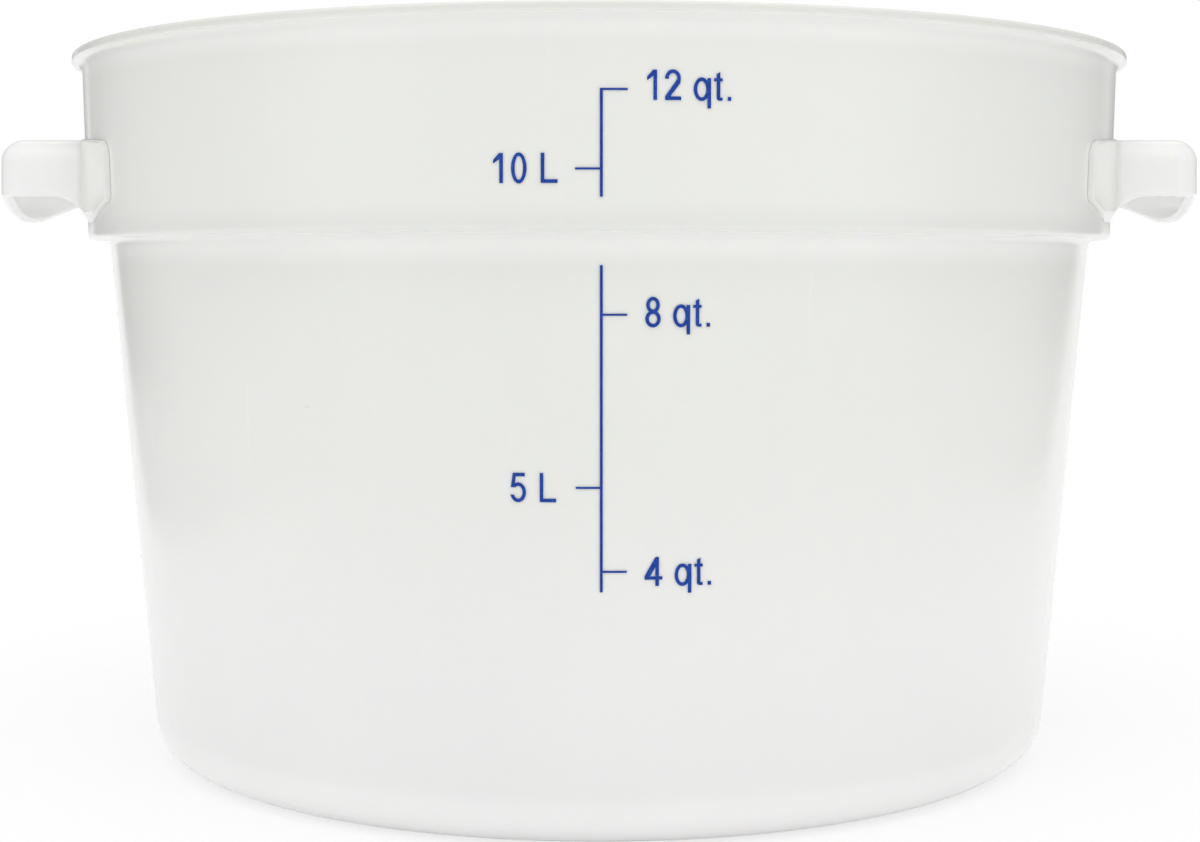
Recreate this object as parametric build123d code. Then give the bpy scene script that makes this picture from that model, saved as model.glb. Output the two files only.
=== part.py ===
from build123d import *

import math
import os

# Round open food tub in translucent white polypropylene, for proofing dough.
# Millimetres, +Z up, origin at the centre of the base, printed scale towards -Y, handles towards -X and +X.

# Tub: outside sizes, from the base up
base_radius = 133.7
shoulder_height = 152.2
tub_taper = 14.6
shoulder_width = 6.1
band_height = 53.8
band_taper = 2.0
wall_thickness = 2.5
floor_thickness = 2.6
shoulder_thickness = 2.5
base_recess_depth = 1.0
standing_ring_width = 7.0

# Rounding of the tub
base_corner_radius = 11.8
shoulder_edge_radius = 1.4
shoulder_root_radius = 2.2
ledge_edge_radius = 1.6
ledge_root_radius = 3.0

# Rim lip
lip_width = 2.8
lip_edge_height = 2.2
lip_corner_radius = 0.7
lip_lower_edge_radius = 0.3
mouth_edge_radius = 0.8

# Handles: one hollow ledge on each side, open underneath, hung from the rim by the drop
handle_drop = 25.2
handle_reach = 22.5
handle_half_length = 50.5
handle_end_depth = 16.4
handle_lip_sag = 6.3
handle_lip_vee_depth = 8.2
handle_lip_end_radius = 25.0
handle_lip_end_setback = 1.8
handle_wall = 2.8
handle_corner_radius = 7.6
handle_top_edge_share = 0.82
handle_lip_edge_radius = 1.3
root_flare_radius = 11.7

# Pad that carries each handle on the band: a wing on each side, its lower border dropping to a flat chin
pad_wing_length = 28.5
pad_thickness = 1.5
pad_wing_top_drop = 2.4
pad_wing_end_drop = 2.0
pad_chin_depth = 5.7
pad_chin_length = 9.0
pad_corner_radius = 4.5
pad_low_corner_radius = 2.0
pad_edge_radius = 0.7
pad_root_radius = 3.5
pad_overlap = 0.3

# Printed scale: a film of ink on the outside of the tub
ink_thickness = 0.15
stem_offset = 0.5
stem_width = 0.7
tick_width = 0.5
tick_length = 6.2
label_12_quart_gap = 4.55
label_10_litre_gap = 4.1
label_8_quart_gap = 4.35
label_5_litre_gap = 4.7
label_4_quart_gap = 4.3
cap_height = 7.1

# Heights of the printed marks, as shares of the wall that carries them
tick_12_quart_share = 0.618
tick_10_litre_share = 0.272
upper_stem_end_share = 0.149
lower_stem_top_share = 0.947
tick_8_quart_share = 0.869
tick_5_litre_share = 0.594
tick_4_quart_share = 0.459
lower_stem_end_share = 0.426

# How far a label's middle stands above its tick, in shares of the capital height
label_12_quart_rise_share = 0.145
label_10_litre_rise_share = 0.025
label_8_quart_rise_share = 0.09

# Numerals and letters, in shares of the capital height, from the left end of each one's base line.
# A ring is the X and Z of its middle, its width and its height.
stroke_share = 0.12
digit_gap_share = 0.27
letter_gap_share = 0.1
stop_gap_share = 0.17
space_share = 0.42
ring_shares = {
    "0": [(0.26, 0.5, 0.52, 1.03)],
    "2": [(0.26, 0.72, 0.52, 0.59)],
    "5": [(0.27, 0.33, 0.54, 0.68)],
    "8": [(0.26, 0.74, 0.46, 0.55), (0.26, 0.27, 0.52, 0.58)],
    "q": [(0.27, 0.37, 0.54, 0.78)],
}
opening_shares = {
    "2": [[(-0.1, 0.3), (0.6, 0.3), (0.6, 0.64), (0.28, 0.64), (0.28, 0.7), (-0.1, 0.7)]],
    "5": [[(-0.1, 0.25), (0.2, 0.25), (0.2, 0.5), (-0.1, 0.5)]],
}
bar_shares = {
    "1": [[(0.21, 0), (0.33, 0), (0.33, 1), (0.2, 1), (0, 0.77), (0, 0.65), (0.21, 0.8)]],
    "2": [[(0, 0), (0.53, 0), (0.53, 0.12), (0.17, 0.12), (0.5, 0.56), (0.52, 0.7), (0.4, 0.7), (0, 0.12)]],
    "4": [
        [(0.37, 0), (0.49, 0), (0.49, 1), (0.37, 1)],
        [(0, 0.22), (0.61, 0.22), (0.61, 0.33), (0, 0.33)],
        [(0, 0.24), (0.14, 0.24), (0.49, 0.88), (0.42, 1), (0.37, 1), (0, 0.34)],
    ],
    "5": [[(0.09, 1), (0.5, 1), (0.5, 0.88), (0.19, 0.88), (0.14, 0.5), (0.02, 0.5)]],
    "L": [[(0.05, 0), (0.61, 0), (0.61, 0.12), (0.17, 0.12), (0.17, 1), (0.05, 1)]],
    "q": [[(0.46, -0.26), (0.58, -0.26), (0.58, 0.74), (0.46, 0.74)]],
    "t": [
        [(0.09, 0.06), (0.15, 0), (0.29, 0), (0.29, 0.1), (0.21, 0.1), (0.21, 0.95), (0.09, 0.88)],
        [(0, 0.64), (0.29, 0.64), (0.29, 0.74), (0, 0.74)],
    ],
    ".": [[(0, 0), (0.12, 0), (0.12, 0.13), (0, 0.13)]],
}

# Reach of cutting and trimming bodies past what they cut
overrun = 10.0
# Distance within which two places count as the same
closeness = 0.05


tub_top_radius = base_radius + tub_taper
band_low_radius = tub_top_radius + shoulder_width
band_top_radius = band_low_radius + band_taper
total_height = shoulder_height + band_height

lip_radius = band_top_radius + lip_width
lip_root_radius = lip_width - lip_lower_edge_radius
lip_low_height = total_height - lip_edge_height
lip_root_height = lip_low_height - lip_root_radius

handle_radius = band_top_radius + handle_reach
handle_top_height = total_height - handle_drop
handle_end_height = handle_top_height - handle_end_depth
handle_top_edge_radius = handle_corner_radius * handle_top_edge_share
finger_corner_radius = handle_corner_radius - handle_wall
finger_top_edge_radius = handle_top_edge_radius - handle_wall

pad_half_length = handle_half_length + pad_wing_length
pad_wing_top_height = handle_top_height - pad_wing_top_drop
pad_wing_low_height = handle_end_height - pad_wing_end_drop
pad_bottom_height = pad_wing_low_height - pad_chin_depth


def tub_outside(height):
    """Outside radius of the tapered lower wall."""
    return base_radius + tub_taper * height / shoulder_height


def band_outside(height):
    """Outside radius of the upper band."""
    return band_low_radius + band_taper * (height - shoulder_height) / band_height


def section(corners):
    """Face whose corners are given as a point and its fillet radius."""
    points = [point for point, _ in corners]
    radii = [radius for _, radius in corners]
    return make_face(FilletPolyline(*points, radius=radii, close=True))


def turned(corners):
    """Solid of revolution about +Z of a section in (radius, height)."""
    return revolve(Plane.XZ * section(corners), Axis.Z)


def make_container_body():
    """Floor, tapered wall, stacking shoulder and band, up to the root of the lip."""
    floor_top = base_recess_depth + floor_thickness
    ledge_top = shoulder_height + shoulder_thickness
    recess_radius = base_radius - base_corner_radius - standing_ring_width
    floor_corner_radius = base_corner_radius - wall_thickness
    corners = [
        ((0, base_recess_depth), 0),
        ((recess_radius - base_recess_depth, base_recess_depth), 0),
        ((recess_radius, 0), 0),
        ((base_radius, 0), base_corner_radius),
        ((tub_top_radius, shoulder_height), shoulder_root_radius),
        ((band_low_radius, shoulder_height), shoulder_edge_radius),
        ((band_outside(lip_root_height), lip_root_height), 0),
        ((band_outside(lip_root_height) - wall_thickness, lip_root_height), 0),
        ((band_outside(ledge_top) - wall_thickness, ledge_top), ledge_root_radius),
        ((tub_outside(ledge_top) - wall_thickness, ledge_top), ledge_edge_radius),
        ((tub_outside(floor_top) - wall_thickness, floor_top), floor_corner_radius),
        ((0, floor_top), 0),
    ]
    return turned(corners)


def make_rim_lip():
    """Outward flange round the mouth, with the last stretch of wall that it grows from."""
    corners = [
        ((band_outside(lip_root_height), lip_root_height), 0),
        ((band_outside(lip_low_height), lip_low_height), lip_root_radius),
        ((lip_radius, lip_low_height), lip_lower_edge_radius),
        ((lip_radius, total_height), lip_corner_radius),
        ((band_outside(total_height) - wall_thickness, total_height), mouth_edge_radius),
        ((band_outside(lip_root_height) - wall_thickness, lip_root_height), 0),
    ]
    return turned(corners)


def band_cone(offset):
    """Solid cone as wide as the band, its surface moved outward by an offset."""
    low = pad_bottom_height - overrun
    high = handle_top_height + overrun
    points = [(0, low), (band_outside(low) + offset, low), (band_outside(high) + offset, high), (0, high)]
    return turned([(point, 0) for point in points])


def ledge_plan(inset, corner_radius):
    """Plan of the ledge, from inside the tub to its outer arc, with its outer corners rounded."""
    reach = handle_radius - inset
    half = handle_half_length - inset
    corner = math.sqrt(reach**2 - half**2)
    outline = ThreePointArc((corner, -half), (reach, 0), (corner, half))
    outline += Polyline((corner, half), (base_radius, half), (base_radius, -half), (corner, -half))
    plan = make_face(outline)
    return fillet(plan.vertices().sort_by(Axis.X)[-2:], corner_radius)


def flared(plan):
    """The plan with a small flare at each root, which dips under the surface of the pad."""
    pad_radius = band_outside(handle_end_height) + pad_thickness - pad_overlap
    width = 2 * handle_half_length + 4 * pad_root_radius
    near_roots = Pos(base_radius, 0) * Rectangle(handle_radius, width, align=(Align.MIN, Align.CENTER))
    plan += Circle(pad_radius) & near_roots
    roots = [
        corner
        for corner in plan.vertices()
        if abs(abs(corner.Y) - handle_half_length) < closeness
        and math.hypot(corner.X, corner.Y) < pad_radius + closeness
    ]
    return fillet(roots, pad_root_radius)


def ledge_block(plan, inset, bottom, top_edge_radius):
    """The plan drawn up to the top of the ledge, with its top edge rounded."""
    block = extrude(Plane.XY.offset(bottom) * plan, handle_top_height - inset - bottom)
    top_edges = block.faces().sort_by(Axis.Z)[-1].edges().sort_by(Axis.X)[1:]
    return fillet(top_edges, top_edge_radius)


def below_lip():
    """What is open under the outer lip, seen along X: two slopes, rounded where they would meet in a vee."""
    end_reach = handle_half_length - handle_corner_radius - handle_lip_end_setback
    slope = math.atan2(handle_lip_vee_depth, end_reach)
    sag_radius = (handle_lip_vee_depth - handle_lip_sag) / (1 / math.cos(slope) - 1)
    far = handle_half_length + overrun
    low = pad_bottom_height - overrun
    corners = [
        ((far, low), 0),
        ((far, handle_end_height), 0),
        ((end_reach, handle_end_height), handle_lip_end_radius),
        ((0, handle_end_height - handle_lip_vee_depth), sag_radius),
        ((-end_reach, handle_end_height), handle_lip_end_radius),
        ((-far, handle_end_height), 0),
        ((-far, low), 0),
    ]
    return extrude(Plane.YZ * section(corners), handle_radius + overrun)


def clear_of_root():
    """What is open round the curve that flares from the foot of the chin to the handle's underside."""
    chin = band_outside(pad_bottom_height) + closeness
    rest = root_flare_radius - (handle_end_height - pad_bottom_height)
    root = chin - root_flare_radius + math.sqrt(root_flare_radius**2 - rest**2)
    far = handle_radius + overrun
    low = pad_bottom_height - overrun
    corners = [
        ((root, low), 0),
        ((root, handle_end_height), root_flare_radius),
        ((far, handle_end_height), 0),
        ((far, low), 0),
    ]
    return turned(corners)


def make_ledge():
    """The handle without its pad: top, outer lip and two ends, with room for the fingers underneath."""
    outer_plan = flared(ledge_plan(0, handle_corner_radius))
    hollow_plan = ledge_plan(handle_wall, finger_corner_radius)
    ledge = ledge_block(outer_plan, 0, pad_bottom_height, handle_top_edge_radius)
    ledge -= ledge_block(hollow_plan, handle_wall, pad_bottom_height - overrun, finger_top_edge_radius)
    ledge -= below_lip() & Pos(0, 0, closeness) * clear_of_root()
    ledge -= band_cone(0)
    lip_edges = [
        edge
        for edge in ledge.edges()
        if edge.bounding_box().max.Z < handle_end_height + closeness
        and edge.center().X > band_outside(handle_end_height)
        and edge.length > handle_wall
    ]
    return fillet(lip_edges, handle_lip_edge_radius)


def between_ends():
    """The room for the fingers, cut out of the pad between the handle's two ends."""
    half = handle_half_length - handle_wall
    ceiling = handle_top_height - handle_wall
    depth = ceiling - pad_bottom_height + overrun
    block = Box(handle_radius, 2 * half, depth, align=(Align.MIN, Align.CENTER, Align.MAX))
    return Pos(0, 0, ceiling) * block


def make_pad():
    """Thin pad on the band behind the handle, with a rounded border. It thins out towards its chins."""
    corners = [
        ((handle_half_length + pad_chin_length, pad_bottom_height), pad_corner_radius),
        ((pad_half_length, pad_wing_low_height), pad_low_corner_radius),
        ((pad_half_length, pad_wing_top_height), pad_corner_radius),
        ((handle_half_length, handle_top_height), pad_corner_radius),
    ]
    corners += [((-along, height), radius) for (along, height), radius in reversed(corners)]
    prism = extrude(Plane.YZ * section(corners), handle_radius)
    pad = (prism & band_cone(pad_thickness)) - band_cone(0)
    front = pad.faces().filter_by(GeomType.CONE).sort_by(Axis.X)[-1]
    wings = fillet(front.edges(), pad_edge_radius) - between_ends()
    return wings - clear_of_root()


def make_handle():
    """Handle on the +X side: the ledge on its pad."""
    return make_ledge() + make_pad()


def ink_film(outside, low, high):
    """Film of ink all round a wall, between two heights."""
    points = [
        (outside(low), low),
        (outside(low) + ink_thickness, low),
        (outside(high) + ink_thickness, high),
        (outside(high), high),
    ]
    return turned([(point, 0) for point in points])


def printed(outline, film):
    """The part of a film that an outline, drawn in X and Z, covers on the front of the tub."""
    return film & extrude(Plane.XZ * outline, lip_radius)


def block_outline(left, right, low, high):
    """Rectangle between two X and two Z values."""
    return make_face(Polyline((left, low), (right, low), (right, high), (left, high), close=True))


def glyph(character):
    """Outline of one numeral or letter at the size of the print."""
    outline = Sketch()
    for middle_x, middle_z, width, height in ring_shares.get(character, []):
        ring = Ellipse(width / 2, height / 2) - Ellipse(width / 2 - stroke_share, height / 2 - stroke_share)
        outline += Pos(middle_x, middle_z) * ring
    for corners in opening_shares.get(character, []):
        outline -= make_face(Polyline(*corners, close=True))
    for corners in bar_shares.get(character, []):
        outline += make_face(Polyline(*corners, close=True))
    return scale(outline, cap_height)


def gap_before(before, character):
    """Share of the capital height that is left open between two neighbours."""
    if before.isdigit() and character.isdigit():
        return digit_gap_share
    return stop_gap_share if character == "." else letter_gap_share


def text_outline(text):
    """Row of glyphs from X = 0, on a base line at Z = 0, and its length."""
    row = Sketch()
    reach = 0
    before = ""
    for character in text:
        if character == " ":
            reach += (space_share - letter_gap_share) * cap_height
        else:
            if before:
                reach += gap_before(before, character) * cap_height
            shape = glyph(character)
            row += Pos(reach, 0) * shape
            reach += shape.bounding_box().max.X
            before = character
    return row, reach


def make_tick(side, height, film):
    """Short line from the stem, to the right for side 1 and to the left for side -1."""
    near = stem_offset + side * stem_width / 2
    far = stem_offset + side * tick_length
    outline = block_outline(min(near, far), max(near, far), height - tick_width / 2, height + tick_width / 2)
    return printed(outline, film)


def make_label(side, height, text, gap, film):
    """Numeral and unit beside a tick, level with it."""
    row, length = text_outline(text)
    start = stem_offset + side * (tick_length + gap)
    left = start if side > 0 else start - length
    return printed(Pos(left, height - cap_height / 2) * row, film)


def make_stem(low, high, film):
    """Upright line of the scale."""
    left = stem_offset - stem_width / 2
    return printed(block_outline(left, left + stem_width, low, high), film)


def make_scale():
    """All printed marks, each under its own name."""
    upper_film = ink_film(band_outside, shoulder_height + shoulder_edge_radius, lip_root_height)
    lower_film = ink_film(tub_outside, base_corner_radius, shoulder_height - shoulder_root_radius)

    def on_band(share):
        return shoulder_height + share * band_height

    def on_tub(share):
        return share * shoulder_height

    ticks = {
        "12_quart": (1, on_band(tick_12_quart_share), upper_film),
        "10_litre": (-1, on_band(tick_10_litre_share), upper_film),
        "8_quart": (1, on_tub(tick_8_quart_share), lower_film),
        "5_litre": (-1, on_tub(tick_5_litre_share), lower_film),
        "4_quart": (1, on_tub(tick_4_quart_share), lower_film),
    }
    labels = {
        "12_quart": ("12 qt.", label_12_quart_gap, label_12_quart_rise_share),
        "10_litre": ("10 L", label_10_litre_gap, label_10_litre_rise_share),
        "8_quart": ("8 qt.", label_8_quart_gap, label_8_quart_rise_share),
        "5_litre": ("5 L", label_5_litre_gap, 0),
        "4_quart": ("4 qt.", label_4_quart_gap, 0),
    }
    scale_parts = {}
    upper_top = on_band(tick_12_quart_share) + tick_width / 2
    lower_top = on_tub(lower_stem_top_share)
    scale_parts["upper_scale_stem"] = make_stem(on_band(upper_stem_end_share), upper_top, upper_film)
    scale_parts["lower_scale_stem"] = make_stem(on_tub(lower_stem_end_share), lower_top, lower_film)
    for name, (side, height, film) in ticks.items():
        text, gap, rise_share = labels[name]
        scale_parts["tick_" + name] = make_tick(side, height, film)
        scale_parts["label_" + name] = make_label(side, height + rise_share * cap_height, text, gap, film)
    return scale_parts


parts = {
    "container_body": make_container_body(),
    "rim_lip": make_rim_lip(),
    "right_handle": make_handle(),
}
parts["left_handle"] = parts["right_handle"].rotate(Axis.Z, 180)
parts.update(make_scale())

os.makedirs("parts", exist_ok=True)
for name, part in parts.items():
    export_step(part, f"parts/{name}.step")
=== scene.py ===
"""Round proofing tub in translucent white plastic: its moulding, handles, printed scale and studio."""

import math

import bmesh
import bpy
from bpy.props import FloatProperty, FloatVectorProperty, IntProperty, PointerProperty
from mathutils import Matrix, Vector


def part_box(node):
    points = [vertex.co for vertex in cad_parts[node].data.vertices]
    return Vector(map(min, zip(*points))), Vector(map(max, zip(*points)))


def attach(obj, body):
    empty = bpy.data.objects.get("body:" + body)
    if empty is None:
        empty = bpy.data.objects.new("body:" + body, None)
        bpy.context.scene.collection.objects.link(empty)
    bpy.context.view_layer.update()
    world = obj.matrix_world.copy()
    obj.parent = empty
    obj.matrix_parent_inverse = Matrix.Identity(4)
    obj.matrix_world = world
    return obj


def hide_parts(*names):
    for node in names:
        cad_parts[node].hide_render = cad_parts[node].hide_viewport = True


bl_info = {
    "name": "Dough Proofing Container",
    "version": (1, 0, 0),
    "blender": (4, 5, 0),
    "location": "3D View > Sidebar > Proofing Tub",
    "description": "Models and finishes a round translucent proofing tub around its packed frame",
    "category": "Object",
}

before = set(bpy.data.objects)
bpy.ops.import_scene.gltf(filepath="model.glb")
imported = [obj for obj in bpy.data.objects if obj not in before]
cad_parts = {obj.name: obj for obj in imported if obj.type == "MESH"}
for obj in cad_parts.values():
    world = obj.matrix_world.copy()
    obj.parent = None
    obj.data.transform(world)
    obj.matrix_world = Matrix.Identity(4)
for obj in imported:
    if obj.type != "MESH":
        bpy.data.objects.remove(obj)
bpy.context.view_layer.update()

MM = 0.001
WHITE = (1.0, 1.0, 1.0)
BLACK = (0.0, 0.0, 0.0)
PHOTO_WIDTH = 1200
SENSOR_WIDTH = 36
# Turns a face of the lathed mesh, not a corner, straight to the front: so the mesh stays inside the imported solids' box
HALF_FACE = 0.5

BODY_LOW, BODY_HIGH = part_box("container_body")
LIP_LOW, LIP_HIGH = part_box("rim_lip")
INK_NODES = [
    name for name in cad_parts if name.endswith("_stem") or name.startswith(("tick_", "label_"))
]
HANDLE_NODES = ("left_handle", "right_handle")

# Heights between which the lower wall's paler tone, painted light, turns into the upper wall's, in millimetres
TONE_CHANGE = (40, 105)
# Painted light and painted shade on rings of the tub where its form gathers or loses light: four heights and four
# radii in millimetres, from none to full and from full to none again, and how much white or black each one takes
PAINTED_LIGHT_RINGS = (
    # Painted light on the foot, against the shade near the floor
    ((-2, -1, 1, 16), (0, 1, 150, 151), 0.78),
    # Painted light on and under the shoulder
    ((143, 150, 152, 153), (146.5, 147.5, 152.5, 154), 0.42),
    # Painted light on the band just under the lip
    ((196, 201, 203.7, 204.2), (154.3, 155.2, 158.2, 159), 0.34),
)
PAINTED_SHADE_RINGS = (
    # Painted shade on the band's lower edge
    ((151, 152, 153, 160), (152.5, 154, 162, 163), 0.045),
    # Painted shade on the lip's outer face, a painted dark reflection
    ((203, 203.6, 207, 208), (158.4, 159, 162, 163), 0.1),
)
# Marks of moulding and use on the lower wall: middle and reach, in millimetres
FLOW_LINES = (
    ((-90, -110, 102), (0.6, 25, 24)),
    ((51.5, -136.6, 136.4), (0.5, 25, 15)),
    ((-123.3, -72.4, 100.3), (0.7, 25, 12)),
)
SCUFF = ((-73.2, -121.8, 108.8), (1.6, 20, 0.35))
MARK_SHARE = 0.09
# Bounds of the handles' hollow, which is painted light, each fading over a short span in millimetres: inner and outer
# distance from the tub's axis, half length and top
HOLLOW_INNER = (157.5, 158.5)
HOLLOW_OUTER = (176.3, 177)
HOLLOW_HALF_LENGTH = (47.9, 48.6)
HOLLOW_TOP = (177.7, 178.4)
# Distances from the tub's axis between which a pad's painted shade and depth turn into its handle's, in millimetres
PAD_PAINTED_SHADE_END = (157.2, 158.6)
PAD_DEPTH_END = (157.6, 160)

# Noises in the plastic and the ink: cycles per metre on each axis, detail and roughness
CLOUDS = ((9, 9, 6), 3.0, 0.5)
FLOW_STREAKS = ((260, 260, 9), 2.0, 0.5)
FINE_SCUFFS = ((70, 70, 900), 4.0, 0.7)
GLOSS_CHANGES = ((40, 40, 25), 4.0, 0.5)
PEEL = ((450, 450, 450), 1.0, 0.5)
WAVES = ((60, 60, 12), 1.0, 0.5)
INK_DENSITY = ((700, 700, 700), 3.0, 0.5)
INK_PINHOLES = ((2600, 2600, 2600), 2.0, 0.5)
INK_GRAIN = ((4000, 4000, 4000), 1.0, 0.5)
# Depths of the bumps that these noises make
PEEL_DEPTH = 0.004 * MM
WAVE_DEPTH = 0.02 * MM
STREAK_DEPTH = 0.004 * MM
GRAIN_DEPTH = 0.01 * MM

POLYPROPYLENE_IOR = 1.49
# How far red, green and blue go into the plastic, as shares of its depth
LIGHT_REACH = (1.0, 0.95, 0.85)

# Studio, in metres: feet of the cards as seen from above, their lower and upper edges, and the softbox
LEFT_FOOT = ((-0.405, -0.5), (-0.405, 0.29), (-1.07, 1.525), (-4.7, 7.7))
RIGHT_FOOT = ((0.5, -0.5), (0.5, 0.27), (1.92, 2.4), (5.4, 7.7))
BACK_FOOT = ((-1.4, 2.4), (1.7, 2.4))
SIDE_CARD_EDGES = (0.0, 1.4)
BACK_CARD_EDGES = (0.2, 2.0)
SOFTBOX_PLACE = (0, -0.6, 2.0)
SOFTBOX_SIZE = 1.6
SOFTBOX_TARGET = (0, 0, 0.1)
FLOOR_SIZE = 30
# Spans in metres over which the floor turns white away from the tub, and over which the cards' grey changes: towards
# the rear, up from the floor, and back from the camera
FLOOR_FADE = (0.2, 1.0)
REAR_FADE = (0.2, 1.2)
FOOT_FADE = (0.045, 0.09)
FRONT_FADE = (-0.47, -0.12)


def length(name, description, default):
    """A length that the user may change, in metres."""
    units = {"unit": "LENGTH", "subtype": "DISTANCE", "precision": 5}
    return FloatProperty(name=name, description=description, default=default, **units)


def share(name, description, default, highest=1.0):
    """A plain number from 0 up."""
    return FloatProperty(name=name, description=description, default=default, min=0, max=highest, precision=3)


def colour(name, description, default):
    """A colour that the user may change."""
    limits = {"subtype": "COLOR", "size": 3, "min": 0, "max": 1}
    return FloatVectorProperty(name=name, description=description, default=default, **limits)


class TubSizes(bpy.types.PropertyGroup):
    """Sizes of the moulding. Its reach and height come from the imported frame."""

    base_radius: length("Base Radius", "Outside radius where the wall would meet the table", 133.7 * MM)
    tub_top_radius: length("Tub Top Radius", "Outside radius of the lower wall under the shoulder", 148.3 * MM)
    shoulder_height: length("Shoulder Height", "Height of the shoulder's underside", 152.2 * MM)
    shoulder_width: length("Shoulder Width", "How far the band stands out from the lower wall", 6.1 * MM)
    wall: length("Wall", "Wall thickness", 2.5 * MM)
    floor_thickness: length("Floor", "Floor thickness", 2.6 * MM)
    base_recess: length("Base Recess", "Depth of the recess inside the standing ring", 1.0 * MM)
    ring_width: length("Standing Ring", "Width of the ring that the tub stands on", 7.0 * MM)
    base_corner: length("Base Corner", "Radius of the corner between wall and base", 11.8 * MM)
    shoulder_edge: length("Shoulder Edge", "Radius of the shoulder's outer edge", 1.4 * MM)
    shoulder_root: length("Shoulder Root", "Radius where the lower wall meets the shoulder", 2.2 * MM)
    ledge_edge: length("Ledge Edge", "Radius of the inner ledge's edge", 1.6 * MM)
    ledge_root: length("Ledge Root", "Radius where the inner ledge meets the band", 3.0 * MM)
    lip_edge: length("Lip Edge", "Height of the lip's outer edge", 2.2 * MM)
    lip_corner: length("Lip Corner", "Radius of the lip's upper corner", 0.7 * MM)
    lip_lower_corner: length("Lip Lower Corner", "Radius of the lip's lower corner", 0.3 * MM)
    mouth_edge: length("Mouth Edge", "Radius of the edge round the mouth", 0.8 * MM)
    gate_radius: length("Gate Radius", "Radius of the gate mark under the base", 3.0 * MM)
    turns: IntProperty(name="Turns", description="Faces round the tub", default=288, min=96, max=720)


class TubColours(bpy.types.PropertyGroup):
    """Colours of the plastic and the ink. Some are painted light and shade: the paler lower wall, handles and hollow,
    and the darker pads.
    """

    plastic: colour("Plastic", "Milky white of the upper wall", (0.826, 0.835, 0.81))
    # Painted light: the lower wall paler and more neutral than the upper wall
    low_plastic_painted_light: colour("Low Plastic", "Milky white of the lower wall", (0.853, 0.855, 0.851))
    # Painted light: the handles paler than the tub's wall
    handle_plastic_painted_light: colour("Handle Plastic", "Milky white of the handles", (0.878, 0.878, 0.872))
    # Painted shade: the pads darker than the handles
    pad_plastic_painted_shade: colour("Pad Plastic", "Milky white of the handles' pads", (0.815, 0.82, 0.79))
    # Painted light: the hollow inside the handles nearly white
    hollow_plastic_painted_light: colour("Hollow Plastic", "Milky white inside the handles' hollow", (0.99, 0.99, 0.985))
    ink: colour("Ink", "Blue of the printed scale", (0.007, 0.055, 0.36))
    worn_ink: colour("Worn Ink", "Blue where the ink is rubbed thin", (0.06, 0.16, 0.56))
    depth: length("Depth", "How deep light goes into the plastic", 1.5 * MM)
    handle_depth: length("Handle Depth", "How deep light goes into the outside of the handles", 1.5 * MM)
    pad_depth: length("Pad Depth", "How deep light goes into the handles' pads", 0.4 * MM)
    hollow_depth: length("Hollow Depth", "How deep light goes into the walls of the handles' hollow", 15.0 * MM)
    gloss_roughness: share("Roughness", "Roughness of the moulded surface", 0.17)


class StudioSettings(bpy.types.PropertyGroup):
    """Camera, floor and light."""

    camera_distance: length("Camera Distance", "From the lens to the tub's axis", 627.8 * MM)
    camera_height: length("Camera Height", "Height of the level lens above the floor", 141.83 * MM)
    focal_pixels: share("Focal Length", "Focal length in pixels of the photograph", 2011.7, 9000)
    horizon_rise: share("Horizon Rise", "Horizon above the picture's middle, in pixels", 146.2, 600)
    axis_offset: share("Axis Offset", "Tub's axis left of the picture's middle, in pixels", 0.8, 600)
    side_dark: share("Side Dark", "Brightness of the dark studio beside the tub", 0.17)
    side_foot: share("Side Foot", "Brightness of the studio's sides at the floor", 0.55)
    rear_dark: share("Rear Dark", "Brightness of the studio behind the tub", 0.34)
    sky: share("Sky", "How strongly the white surroundings light the tub", 0.92)
    floor_glow: share("Floor Glow", "How much of the floor near the tub shows as pure white", 0.75)
    floor_colour: colour("Floor", "Pale floor", (0.95, 0.95, 0.95))
    lamp_power: FloatProperty(name="Lamp", description="Power of the softbox overhead", default=9.0, unit="POWER")


def add_node(tree, kind, settings=None, inputs=None):
    """Adds a node. An input is a constant, or the output socket that feeds it."""
    made = tree.nodes.new(kind)
    for name, value in (settings or {}).items():
        setattr(made, name, value)
    for name, value in (inputs or {}).items():
        if isinstance(value, bpy.types.NodeSocket):
            tree.links.new(value, made.inputs[name])
        else:
            made.inputs[name].default_value = value
    return made


def opaque(rgb):
    """A colour with full alpha."""
    return (*rgb, 1.0)


def blank_material(name):
    """A material with a Principled BSDF and an output, and both."""
    material = bpy.data.materials.new(name)
    material.use_nodes = True
    tree = material.node_tree
    return material, tree, tree.nodes["Principled BSDF"]


def object_place(tree, scale):
    """Object coordinates, stretched by a scale for each axis."""
    place = add_node(tree, "ShaderNodeTexCoord")
    stretched = add_node(tree, "ShaderNodeMapping", inputs={"Vector": place.outputs["Object"], "Scale": scale})
    return stretched.outputs["Vector"]


def noise(tree, scale, detail, roughness):
    """Noise between 0 and 1, with a scale in cycles per metre for each axis."""
    made = add_node(
        tree,
        "ShaderNodeTexNoise",
        inputs={"Vector": object_place(tree, scale), "Scale": 1.0, "Detail": detail, "Roughness": roughness},
    )
    return made.outputs["Fac"]


def between(tree, value, low, high, to_low=0.0, to_high=1.0):
    """Maps a range of a value to another one, smoothly."""
    made = add_node(
        tree,
        "ShaderNodeMapRange",
        {"interpolation_type": "SMOOTHSTEP"},
        {"Value": value, "From Min": low, "From Max": high, "To Min": to_low, "To Max": to_high},
    )
    return made.outputs["Result"]


def over_span(tree, value, span, to_low=0.0, to_high=1.0):
    """The same for a span given in millimetres."""
    return between(tree, value, span[0] * MM, span[1] * MM, to_low, to_high)


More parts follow.
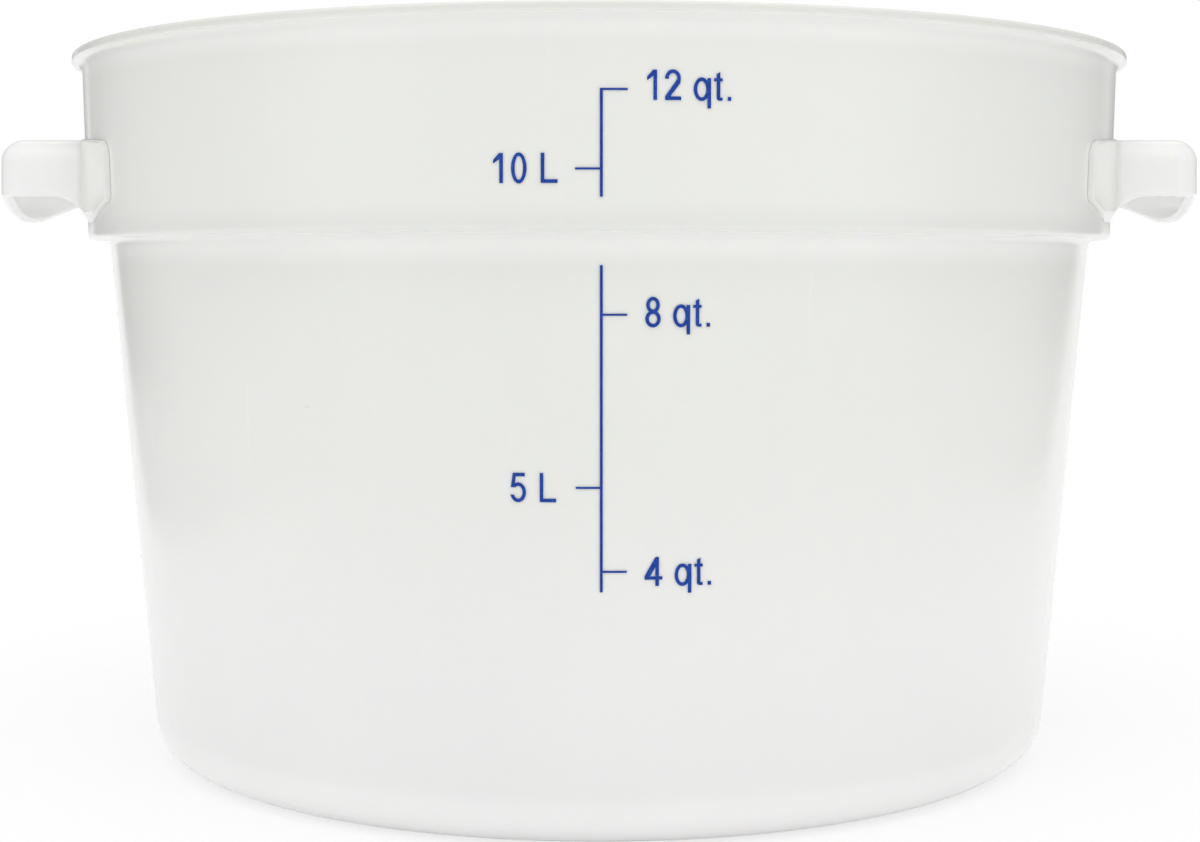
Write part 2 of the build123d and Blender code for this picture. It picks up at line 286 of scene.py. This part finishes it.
def mixed(tree, share_socket, first, second):
    """Mix of two colours."""
    made = add_node(tree, "ShaderNodeMix", {"data_type": "RGBA"}, {"Factor": share_socket})
    for index, value in ((6, first), (7, second)):
        if isinstance(value, bpy.types.NodeSocket):
            tree.links.new(value, made.inputs[index])
        else:
            made.inputs[index].default_value = opaque(value)
    return made.outputs[2]


def bumped(tree, height, depth, normal=None):
    """Normal after a bump of a depth in metres."""
    inputs = {"Height": height, "Distance": depth, "Strength": 1.0}
    if normal is not None:
        inputs["Normal"] = normal
    return add_node(tree, "ShaderNodeBump", inputs=inputs).outputs["Normal"]


def product(tree, first, second):
    """Two values multiplied."""
    return add_node(tree, "ShaderNodeMath", {"operation": "MULTIPLY"}, {0: first, 1: second}).outputs[0]


def own_place(tree):
    """Place on the part: how far out to the front or back, height, and distance from the upright axis."""
    place = add_node(tree, "ShaderNodeTexCoord").outputs["Object"]
    parts = add_node(tree, "ShaderNodeSeparateXYZ", inputs={"Vector": place})
    along = add_node(tree, "ShaderNodeMath", {"operation": "ABSOLUTE"}, {0: parts.outputs["Y"]})
    flat = add_node(tree, "ShaderNodeVectorMath", {"operation": "MULTIPLY"}, {0: place, 1: (1, 1, 0)})
    radius = add_node(tree, "ShaderNodeVectorMath", {"operation": "LENGTH"}, {0: flat.outputs[0]})
    return along.outputs[0], parts.outputs["Z"], radius.outputs["Value"]


def soft_spot(tree, middle, reach, most):
    """A share at a place, in millimetres, that fades to 0 at its reach on each axis."""
    place = add_node(tree, "ShaderNodeTexCoord").outputs["Object"]
    inputs = {"Vector": place, "Location": [v * MM for v in middle], "Scale": [v * MM for v in reach]}
    local = add_node(tree, "ShaderNodeMapping", {"vector_type": "TEXTURE"}, inputs)
    away = add_node(tree, "ShaderNodeVectorMath", {"operation": "LENGTH"}, {0: local.outputs[0]})
    return between(tree, away.outputs["Value"], 0.2, 1.0, most, 0.0)


def ring(tree, heights, radii, most):
    """A share on a ring of the tub. It rises over the first two and falls over the last two heights and radii."""
    _, height, radius = own_place(tree)
    for value, places in ((height, heights), (radius, radii)):
        most = product(tree, most, over_span(tree, value, places[:2]))
        most = product(tree, most, over_span(tree, value, places[2:], 1.0, 0.0))
    return most


def tub_milk_with_painted_light(tree, colours):
    """Colour of the tub: paler low down as painted light, with painted light and shade on its rings, and its flow
    lines and scuff.
    """
    _, height, _ = own_place(tree)
    milk_with_painted_light = mixed(tree, over_span(tree, height, TONE_CHANGE), colours.low_plastic_painted_light, colours.plastic)
    for rings, tone in ((PAINTED_LIGHT_RINGS, WHITE), (PAINTED_SHADE_RINGS, BLACK)):
        for heights, radii, most in rings:
            milk_with_painted_light = mixed(tree, ring(tree, heights, radii, most), milk_with_painted_light, tone)
    for middle, reach in FLOW_LINES:
        milk_with_painted_light = mixed(tree, soft_spot(tree, middle, reach, MARK_SHARE), milk_with_painted_light, WHITE)
    return mixed(tree, soft_spot(tree, *SCUFF, MARK_SHARE), milk_with_painted_light, BLACK)


def in_hollow(tree):
    """1 on the surfaces inside the handles' hollow, 0 on their outside and pads."""
    along, height, radius = own_place(tree)
    within = over_span(tree, radius, HOLLOW_OUTER, 1.0, 0.0)
    within = product(tree, within, over_span(tree, along, HOLLOW_HALF_LENGTH, 1.0, 0.0))
    within = product(tree, within, over_span(tree, height, HOLLOW_TOP, 1.0, 0.0))
    return product(tree, within, over_span(tree, radius, HOLLOW_INNER))


def moulded_skin(skin, tree, milk_with_painted_light, colours):
    """Milky polypropylene of a colour: faint clouds, upright flow streaks, small scuffs and a satin surface."""
    clouds = between(tree, noise(tree, *CLOUDS), 0.3, 0.7, 0.02, 0.0)
    darker = mixed(tree, clouds, milk_with_painted_light, BLACK)
    streaks = noise(tree, *FLOW_STREAKS)
    streaked = mixed(tree, between(tree, streaks, 0.62, 0.75, 0.0, 0.03), darker, WHITE)
    tree.links.new(streaked, skin.inputs["Base Color"])
    smoothest, roughest = colours.gloss_roughness * 0.85, colours.gloss_roughness * 1.3
    rough = between(tree, noise(tree, *GLOSS_CHANGES), 0.3, 0.75, smoothest, roughest)
    scuffs = between(tree, noise(tree, *FINE_SCUFFS), 0.66, 0.74)
    scuffed = add_node(tree, "ShaderNodeMath", {"operation": "MULTIPLY_ADD"}, {0: scuffs, 1: 0.05, 2: rough})
    tree.links.new(scuffed.outputs[0], skin.inputs["Roughness"])
    peel = bumped(tree, noise(tree, *PEEL), PEEL_DEPTH)
    waves = bumped(tree, noise(tree, *WAVES), WAVE_DEPTH, peel)
    drawn = bumped(tree, streaks, STREAK_DEPTH, waves)
    tree.links.new(drawn, skin.inputs["Normal"])
    skin.inputs["IOR"].default_value = POLYPROPYLENE_IOR
    skin.inputs["Subsurface Weight"].default_value = 1.0
    skin.inputs["Subsurface Radius"].default_value = LIGHT_REACH


def tub_plastic_with_painted_light(colours):
    """Plastic of the tub, with painted light and shade in its colour."""
    material, tree, skin = blank_material("tub_polypropylene_painted_light")
    moulded_skin(skin, tree, tub_milk_with_painted_light(tree, colours), colours)
    skin.inputs["Subsurface Scale"].default_value = colours.depth
    return material


def handle_plastic_painted_light(colours):
    """Plastic of the handles, painted lighter outside and in the hollow and darker on the pads as painted light and
    shade. Light goes deeper into the hollow than into the outside, and least into the pads.
    """
    material, tree, skin = blank_material("handle_polypropylene_painted_light")
    hollow = in_hollow(tree)
    _, _, radius = own_place(tree)
    milk_with_painted_light = mixed(tree, over_span(tree, radius, PAD_PAINTED_SHADE_END), colours.pad_plastic_painted_shade, colours.handle_plastic_painted_light)
    moulded_skin(skin, tree, mixed(tree, hollow, milk_with_painted_light, colours.hollow_plastic_painted_light), colours)
    outside = over_span(tree, radius, PAD_DEPTH_END, colours.pad_depth, colours.handle_depth)
    depth = add_node(tree, "ShaderNodeMix", inputs={0: hollow, 2: outside, 3: colours.hollow_depth})
    tree.links.new(depth.outputs[0], skin.inputs["Subsurface Scale"])
    return material


def printed_ink(name, colours):
    """Screen-printed blue ink, a little uneven, with pinholes rubbed pale."""
    material, tree, film = blank_material(name)
    density = between(tree, noise(tree, *INK_DENSITY), 0.35, 0.65)
    laid = mixed(tree, density, colours.ink, [channel * 0.8 for channel in colours.ink])
    rubbed = between(tree, noise(tree, *INK_PINHOLES), 0.60, 0.72, 0.0, 0.7)
    tree.links.new(mixed(tree, rubbed, laid, colours.worn_ink), film.inputs["Base Color"])
    tree.links.new(between(tree, density, 0, 1, 0.34, 0.5), film.inputs["Roughness"])
    film.inputs["Specular IOR Level"].default_value = 0.2
    grain = bumped(tree, noise(tree, *INK_GRAIN), GRAIN_DEPTH)
    tree.links.new(grain, film.inputs["Normal"])
    return material


def rounding(corners, index):
    """Vectors from a corner to its neighbours, half the angle between them, and the length that its rounding takes."""
    here, radius = Vector(corners[index][0]), corners[index][1]
    back = Vector(corners[index - 1][0]) - here
    ahead = Vector(corners[(index + 1) % len(corners)][0]) - here
    half_angle = back.angle(ahead) / 2
    return back, ahead, half_angle, radius / math.tan(half_angle)


def rounded_section(corners, step=math.radians(7.5), hold=0.35 * MM):
    """Points of a closed section in (radius, height). Each corner is rounded by its own radius. Where there is room,
    a point close to each end of the rounding keeps the flat beside it flat."""
    points = []
    runs = [rounding(corners, index)[3] for index in range(len(corners))]
    for index, (corner, radius) in enumerate(corners):
        here = Vector(corner)
        if not radius:
            points.append(here)
            continue
        back, ahead, half_angle, run = rounding(corners, index)
        room_back = back.length - run - runs[index - 1]
        room_ahead = ahead.length - run - runs[(index + 1) % len(corners)]
        back.normalize()
        ahead.normalize()
        middle = here + (back + ahead).normalized() * radius / math.sin(half_angle)
        start, end = here + back * run, here + ahead * run
        sweep = math.pi - 2 * half_angle
        steps = max(3, math.ceil(sweep / step))
        if room_back > hold:
            points.append(start + back * min(hold, room_back / 3))
        for count in range(steps + 1):
            along = count / steps
            first = math.sin((1 - along) * sweep) / math.sin(sweep)
            second = math.sin(along * sweep) / math.sin(sweep)
            points.append(middle + (start - middle) * first + (end - middle) * second)
        if room_ahead > hold:
            points.append(end + ahead * min(hold, room_ahead / 3))
    return points


def with_spans(points, longest):
    """The same points with long stretches divided."""
    divided = []
    for point, following in zip(points, points[1:]):
        pieces = max(1, math.ceil((following - point).length / longest))
        divided += [point.lerp(following, count / pieces) for count in range(pieces)]
    return [*divided, points[-1]]


def lathe(name, section, turns):
    """Closed mesh turned about +Z from a section that starts and ends on the axis."""
    mesh = bpy.data.meshes.new(name)
    work = bmesh.new()
    first, last = (work.verts.new((0, 0, point.y)) for point in (section[0], section[-1]))
    angles = [math.tau * (turn + HALF_FACE) / turns for turn in range(turns)]
    outward = [(math.sin(angle), -math.cos(angle)) for angle in angles]
    rings = [[work.verts.new((p.x * x, p.x * y, p.y)) for x, y in outward] for p in section[1:-1]]
    for turn in range(turns):
        after = (turn + 1) % turns
        work.faces.new((first, rings[0][turn], rings[0][after]))
        work.faces.new((last, rings[-1][after], rings[-1][turn]))
        for lower, upper in zip(rings, rings[1:]):
            work.faces.new((lower[turn], upper[turn], upper[after], lower[after]))
    bmesh.ops.recalc_face_normals(work, faces=work.faces)
    for face in work.faces:
        face.smooth = True
    work.to_mesh(mesh)
    work.free()
    return bpy.data.objects.new(name, mesh)


def tub_section(sizes):
    """Section of the whole moulding, from the middle of the underside round to the middle of the floor."""
    total_height, lip_radius = LIP_HIGH.z, LIP_HIGH.x
    root_height, root_radius = LIP_LOW.z, BODY_HIGH.x
    band_low = sizes.tub_top_radius + sizes.shoulder_width
    band_slope = (root_radius - band_low) / (root_height - sizes.shoulder_height)
    tub_slope = (sizes.tub_top_radius - sizes.base_radius) / sizes.shoulder_height

    def band(height):
        return band_low + band_slope * (height - sizes.shoulder_height)

    def tub(height):
        return sizes.base_radius + tub_slope * height

    floor_top = sizes.base_recess + sizes.floor_thickness
    ledge_top = sizes.shoulder_height + sizes.wall
    lip_low = total_height - sizes.lip_edge
    recess_radius = sizes.base_radius - sizes.base_corner - sizes.ring_width
    gate_low = sizes.base_recess * 0.45
    lip_root = lip_radius - band(total_height) - sizes.lip_lower_corner
    corners = [
        ((0, gate_low), 0),
        ((sizes.gate_radius * 0.55, gate_low), 0.25 * MM),
        ((sizes.gate_radius, sizes.base_recess), 0.4 * MM),
        ((recess_radius - sizes.base_recess, sizes.base_recess), 0.6 * MM),
        ((recess_radius, 0), 0.4 * MM),
        ((sizes.base_radius, 0), sizes.base_corner),
        ((sizes.tub_top_radius, sizes.shoulder_height), sizes.shoulder_root),
        ((band_low, sizes.shoulder_height), sizes.shoulder_edge),
        ((band(lip_low), lip_low), lip_root),
        ((lip_radius, lip_low), sizes.lip_lower_corner),
        ((lip_radius, total_height), sizes.lip_corner),
        ((band(total_height) - sizes.wall, total_height), sizes.mouth_edge),
        ((band(ledge_top) - sizes.wall, ledge_top), sizes.ledge_root),
        ((tub(ledge_top) - sizes.wall, ledge_top), sizes.ledge_edge),
        ((tub(floor_top) - sizes.wall, floor_top), sizes.base_corner - sizes.wall),
        ((0, floor_top), 0),
    ]
    return with_spans(rounded_section(corners), 8 * MM)


def link(made):
    """Puts an object in the scene."""
    bpy.context.scene.collection.objects.link(made)
    return made


class PROOFING_OT_moulding(bpy.types.Operator):
    """Turn the tub with its floor, wall, shoulder, band and rim lip as one moulding"""

    bl_idname = "proofing_tub.moulding"
    bl_label = "Tub Moulding"

    def execute(self, context):
        scene = context.scene
        tub = link(lathe("moulded_tub", tub_section(scene.tub_sizes), scene.tub_sizes.turns))
        tub.data.materials.append(tub_plastic_with_painted_light(scene.tub_colours))
        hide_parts("container_body", "rim_lip")
        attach(tub, "root")
        return {"FINISHED"}


class PROOFING_OT_handles(bpy.types.Operator):
    """Finish the two ledge handles in the tub's plastic, with painted light and shade"""

    bl_idname = "proofing_tub.handles"
    bl_label = "Handles"

    def execute(self, context):
        plastic = handle_plastic_painted_light(context.scene.tub_colours)
        for name in HANDLE_NODES:
            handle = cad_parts[name]
            handle.data.materials.clear()
            handle.data.materials.append(plastic)
        return {"FINISHED"}


class PROOFING_OT_volume_scale(bpy.types.Operator):
    """Ink the stems, ticks and numerals of the volume scale"""

    bl_idname = "proofing_tub.volume_scale"
    bl_label = "Volume Scale"

    def execute(self, context):
        ink = printed_ink("blue_scale_ink", context.scene.tub_colours)
        for name in INK_NODES:
            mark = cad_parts[name]
            mark.data.materials.clear()
            mark.data.materials.append(ink)
        return {"FINISHED"}


def seen_directly(tree):
    """1 for rays from the camera, off gloss or through glass, 0 for the rays that light the tub."""
    path = add_node(tree, "ShaderNodeLightPath")
    first = add_node(
        tree,
        "ShaderNodeMath",
        {"operation": "MAXIMUM"},
        {0: path.outputs["Is Camera Ray"], 1: path.outputs["Is Glossy Ray"]},
    )
    both = {0: first.outputs[0], 1: path.outputs["Is Transmission Ray"]}
    return add_node(tree, "ShaderNodeMath", {"operation": "MAXIMUM"}, both).outputs[0]


def plain_floor(settings):
    """Large pale floor under the tub. It keeps the shadow near the tub and shows as white further off."""
    bpy.ops.mesh.primitive_plane_add(size=FLOOR_SIZE)
    floor = bpy.context.object
    floor.name = "studio_floor"
    material, tree, surface = blank_material("pale_floor")
    surface.inputs["Base Color"].default_value = opaque(settings.floor_colour)
    surface.inputs["Roughness"].default_value = 1.0
    surface.inputs["Specular IOR Level"].default_value = 0.0
    place = add_node(tree, "ShaderNodeTexCoord")
    away = add_node(tree, "ShaderNodeVectorMath", {"operation": "LENGTH"}, {0: place.outputs["Object"]})
    white_share = between(tree, away.outputs["Value"], *FLOOR_FADE, settings.floor_glow, 1.0)
    glow = add_node(tree, "ShaderNodeEmission", inputs={"Color": opaque(WHITE), "Strength": 1.0})
    shown = add_node(
        tree,
        "ShaderNodeMixShader",
        inputs={0: product(tree, seen_directly(tree), white_share), 1: surface.outputs[0], 2: glow.outputs[0]},
    )
    tree.links.new(shown.outputs[0], tree.nodes["Material Output"].inputs["Surface"])
    floor.data.materials.append(material)


def card_grey(name, settings):
    """Grey of the studio's walls: dark beside the tub, lighter at the floor, towards the rear and by the camera."""
    material = bpy.data.materials.new(name)
    material.use_nodes = True
    tree = material.node_tree
    tree.nodes.clear()
    place = add_node(tree, "ShaderNodeTexCoord")
    parts = add_node(tree, "ShaderNodeSeparateXYZ", inputs={"Vector": place.outputs["Object"]})
    rear = between(tree, parts.outputs["Y"], *REAR_FADE, settings.side_dark, settings.rear_dark)
    risen = between(tree, parts.outputs["Z"], *FOOT_FADE)
    upright = add_node(tree, "ShaderNodeMix", inputs={0: risen, 2: settings.side_foot, 3: rear})
    front = between(tree, parts.outputs["Y"], *FRONT_FADE, 1.0, 0.0)
    level = add_node(tree, "ShaderNodeMix", inputs={0: front, 2: upright.outputs[0], 3: 1.0})
    glow = add_node(tree, "ShaderNodeEmission", inputs={"Color": opaque(WHITE), "Strength": level.outputs[0]})
    add_node(tree, "ShaderNodeOutputMaterial", inputs={"Surface": glow.outputs["Emission"]})
    return material


def studio_card(name, foot, edges, grey):
    """Upright card along a foot line, between its lower and upper edges, seen only in reflections."""
    mesh = bpy.data.meshes.new(name)
    corners = [(x, y, z) for x, y in foot for z in edges]
    faces = [(2 * i, 2 * i + 2, 2 * i + 3, 2 * i + 1) for i in range(len(foot) - 1)]
    mesh.from_pydata(corners, [], faces)
    card = link(bpy.data.objects.new(name, mesh))
    card.data.materials.append(grey)
    card.visible_camera = False
    card.visible_diffuse = False
    card.visible_transmission = False
    card.visible_volume_scatter = False
    card.visible_shadow = False


def soft_lamp(name, place, size, power):
    """Square softbox that looks at the tub."""
    data = bpy.data.lights.new(name, "AREA")
    data.shape = "SQUARE"
    data.size = size
    data.energy = power
    lamp = link(bpy.data.objects.new(name, data))
    lamp.location = place
    lamp.rotation_euler = (Vector(SOFTBOX_TARGET) - Vector(place)).to_track_quat("-Z", "Y").to_euler()
    lamp.visible_glossy = False


def white_world(settings):
    """White all round. It shows as full white and lights the tub a little less."""
    world = bpy.data.worlds.new("white_studio")
    world.use_nodes = True
    tree = world.node_tree
    sky = tree.nodes["Background"]
    sky.inputs["Color"].default_value = opaque(WHITE)
    tree.links.new(between(tree, seen_directly(tree), 0, 1, settings.sky, 1.0), sky.inputs["Strength"])
    return world


def level_camera(settings):
    """Level camera in front of the scale, framed as the photograph."""
    data = bpy.data.cameras.new("photo_camera")
    data.sensor_width = SENSOR_WIDTH
    data.lens = settings.focal_pixels * SENSOR_WIDTH / PHOTO_WIDTH
    data.shift_x = settings.axis_offset / PHOTO_WIDTH
    data.shift_y = -settings.horizon_rise / PHOTO_WIDTH
    data.clip_start = 0.01
    camera = link(bpy.data.objects.new("photo_camera", data))
    camera.location = (0, -settings.camera_distance, settings.camera_height)
    camera.rotation_euler = (math.radians(90), 0, 0)
    bpy.context.scene.camera = camera


class PROOFING_OT_studio(bpy.types.Operator):
    """Set up the camera, the pale floor, the grey cards and the light"""

    bl_idname = "proofing_tub.studio"
    bl_label = "Studio"

    def execute(self, context):
        scene = context.scene
        settings = scene.tub_studio
        level_camera(settings)
        plain_floor(settings)
        grey = card_grey("studio_grey", settings)
        studio_card("left_card", LEFT_FOOT, SIDE_CARD_EDGES, grey)
        studio_card("right_card", RIGHT_FOOT, SIDE_CARD_EDGES, grey)
        studio_card("back_card", BACK_FOOT, BACK_CARD_EDGES, grey)
        scene.world = white_world(settings)
        soft_lamp("overhead_softbox", SOFTBOX_PLACE, SOFTBOX_SIZE, settings.lamp_power)
        scene.view_settings.view_transform = "Standard"
        return {"FINISHED"}


STEPS = (PROOFING_OT_moulding, PROOFING_OT_handles, PROOFING_OT_volume_scale, PROOFING_OT_studio)
SETTINGS = {"tub_sizes": TubSizes, "tub_colours": TubColours, "tub_studio": StudioSettings}


class PROOFING_PT_panel(bpy.types.Panel):
    """Sidebar panel with the settings and the steps"""

    bl_idname = "PROOFING_PT_panel"
    bl_label = "Proofing Tub"
    bl_space_type = "VIEW_3D"
    bl_region_type = "UI"
    bl_category = "Proofing Tub"

    def draw(self, context):
        for group_name in SETTINGS:
            group = getattr(context.scene, group_name)
            for name in group.__annotations__:
                self.layout.prop(group, name)
        for step in STEPS:
            self.layout.operator(step.bl_idname)


def register():
    for group_name, group in SETTINGS.items():
        bpy.utils.register_class(group)
        setattr(bpy.types.Scene, group_name, PointerProperty(type=group))
    for step in (*STEPS, PROOFING_PT_panel):
        bpy.utils.register_class(step)


def unregister():
    for step in reversed((*STEPS, PROOFING_PT_panel)):
        bpy.utils.unregister_class(step)
    for group_name, group in SETTINGS.items():
        delattr(bpy.types.Scene, group_name)
        bpy.utils.unregister_class(group)


def main():
    """Builds the scene."""
    register()
    bpy.ops.proofing_tub.studio()
    bpy.ops.proofing_tub.moulding()
    bpy.ops.proofing_tub.handles()
    bpy.ops.proofing_tub.volume_scale()


if __name__ == "__main__":
    main()
